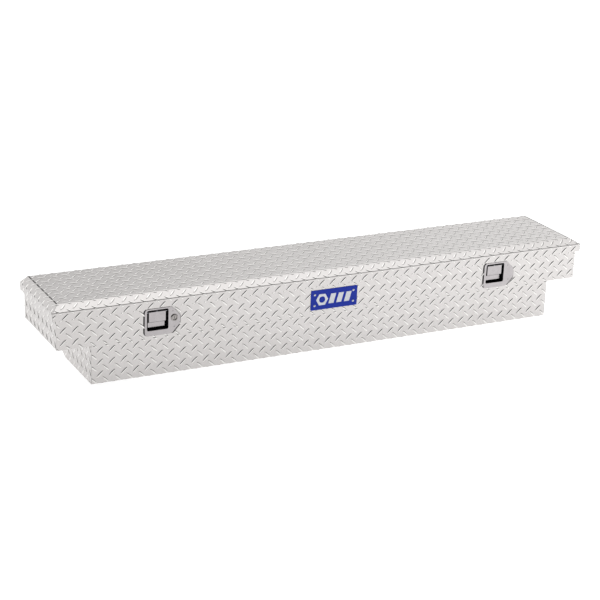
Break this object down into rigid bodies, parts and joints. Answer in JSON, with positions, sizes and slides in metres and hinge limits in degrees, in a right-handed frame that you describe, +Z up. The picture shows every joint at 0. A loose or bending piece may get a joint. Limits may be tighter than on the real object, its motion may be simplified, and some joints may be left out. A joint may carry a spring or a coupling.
{
  "type": "truck tool box",
  "caption": "Low crossover tool box for a pickup bed: tread-plate tub with wings on the bed rails, foam-filled hinged lid, paddle latches on a cross rod and gas struts.",
  "frame": {"origin": "under the middle of the box, on the bottom of the tub", "axes": "+X along the box, -Y out of the front with the handles, +Z up"},
  "size_m": [1.752, 0.29, 0.243],
  "materials": {
    "tread_aluminium": "bright mill finish, raised tread",
    "plain_aluminium": "mill finish",
    "hinge_aluminium": "mill finish",
    "stainless": "satin",
    "cup_black": "black electro-coat",
    "zinc_steel": "zinc plated",
    "lock_chrome": "bright",
    "badge_blue": "gloss",
    "seal_rubber": "matte",
    "gasket_rubber": "matte",
    "foam": "closed-cell foam",
    "strut_black": "satin",
    "strut_chrome": "bright",
    "socket_plastic": "moulded"
  },
  "bodies": {
    "tub": {"trough": "tread_aluminium", "front_panel": "tread_aluminium", "back_panel": "tread_aluminium", "end_sheet_left": "tread_aluminium", "end_sheet_right": "tread_aluminium", "weather_seal": "seal_rubber", "hinge_leaf_lower": "hinge_aluminium", "hinge_pin": "zinc_steel", "hinge_rivets_lower": "hinge_aluminium", "latch_plate_left": "stainless", "latch_plate_right": "stainless", "latch_gasket_left": "gasket_rubber", "latch_gasket_right": "gasket_rubber", "latch_cup_left": "cup_black", "latch_cup_right": "cup_black", "paddle_pin_left": "zinc_steel", "paddle_pin_right": "zinc_steel", "latch_studs": "zinc_steel", "latch_nuts": "zinc_steel", "lock_housing": "lock_chrome", "lock_nut": "zinc_steel", "badge_plate": "badge_blue", "badge_rivets": "hinge_aluminium", "rod_guides": "zinc_steel", "return_springs": "zinc_steel", "strut_bracket_tub_left": "zinc_steel", "strut_bracket_tub_right": "zinc_steel", "strut_balls": "zinc_steel"},
    "lid": {"lid_skin": "tread_aluminium", "lid_core": "foam", "lid_liner": "plain_aluminium", "hinge_leaf_upper": "hinge_aluminium", "hinge_rivets_upper": "hinge_aluminium", "striker_left": "zinc_steel", "striker_right": "zinc_steel", "strut_bracket_lid_left": "zinc_steel", "strut_bracket_lid_right": "zinc_steel", "liner_screws": "zinc_steel"},
    "paddle_left": {"paddle_left": "stainless", "paddle_arm_left": "zinc_steel"},
    "paddle_right": {"paddle_right": "stainless", "paddle_arm_right": "zinc_steel"},
    "cross_rod": {"latch_rod": "zinc_steel", "hook_left": "zinc_steel", "hook_right": "zinc_steel", "fork_left": "zinc_steel", "fork_right": "zinc_steel", "roll_pins": "zinc_steel"},
    "lock": {"lock_plug": "lock_chrome", "lock_cam": "zinc_steel"},
    "strut_tube_left": {"strut_tube_left": "strut_black", "strut_base_socket_left": "socket_plastic"},
    "strut_tube_right": {"strut_tube_right": "strut_black", "strut_base_socket_right": "socket_plastic"},
    "strut_rod_left": {"strut_rod_left": "strut_chrome", "strut_end_left": "socket_plastic"},
    "strut_rod_right": {"strut_rod_right": "strut_chrome", "strut_end_right": "socket_plastic"}
  },
  "joints": [
    {"name": "lid_hinge", "type": "hinge", "parent": "tub", "child": "lid", "pos_m": [0, 0.1415, 0.214], "axis": [-1, 0, 0], "range_deg": [0, 75]},
    {"name": "paddle_left_lift", "type": "hinge", "parent": "tub", "child": "paddle_left", "pos_m": [-0.5655, -0.1345, 0.19], "axis": [-1, 0, 0], "range_deg": [0, 35], "stiffness_Nm_per_rad": 0.6, "springref_deg": -11.46},
    {"name": "paddle_right_lift", "type": "hinge", "parent": "tub", "child": "paddle_right", "pos_m": [0.562, -0.1345, 0.19], "axis": [-1, 0, 0], "range_deg": [0, 35]},
    {"name": "cross_rod_turn", "type": "hinge", "parent": "tub", "child": "cross_rod", "pos_m": [0, -0.088, 0.178], "axis": [1, 0, 0], "range_deg": [0, 43.1]},
    {"name": "lock_turn", "type": "hinge", "parent": "tub", "child": "lock", "pos_m": [-0.515, -0.13, 0.169], "axis": [0, -1, 0], "range_deg": [0, 90]},
    {"name": "strut_left_swing", "type": "hinge", "parent": "tub", "child": "strut_tube_left", "pos_m": [-0.822, -0.08, 0.152], "axis": [1, 0, 0], "range_deg": [0, 10.11]},
    {"name": "strut_left_slide", "type": "slide", "parent": "strut_tube_left", "child": "strut_rod_left", "axis": [0, 0.9535, 0.3014], "range_m": [0, 0.04606]},
    {"name": "strut_right_swing", "type": "hinge", "parent": "tub", "child": "strut_tube_right", "pos_m": [0.822, -0.08, 0.152], "axis": [1, 0, 0], "range_deg": [0, 10.11]},
    {"name": "strut_right_slide", "type": "slide", "parent": "strut_tube_right", "child": "strut_rod_right", "axis": [0, 0.9535, 0.3014], "range_m": [0, 0.04606]}
  ],
  "couplings": [
    {"joint": "paddle_right_lift", "follows": "paddle_left_lift", "ratio": 1},
    {"joint": "cross_rod_turn", "follows": "paddle_left_lift", "ratio": 1.2315},
    {"joint": "strut_left_swing", "follows": "lid_hinge", "ratio": 0.13481},
    {"joint": "strut_left_slide", "follows": "lid_hinge", "m_per_rad": 0.03519},
    {"joint": "strut_right_swing", "follows": "lid_hinge", "ratio": 0.13481},
    {"joint": "strut_right_slide", "follows": "lid_hinge", "m_per_rad": 0.03519}
  ]
}
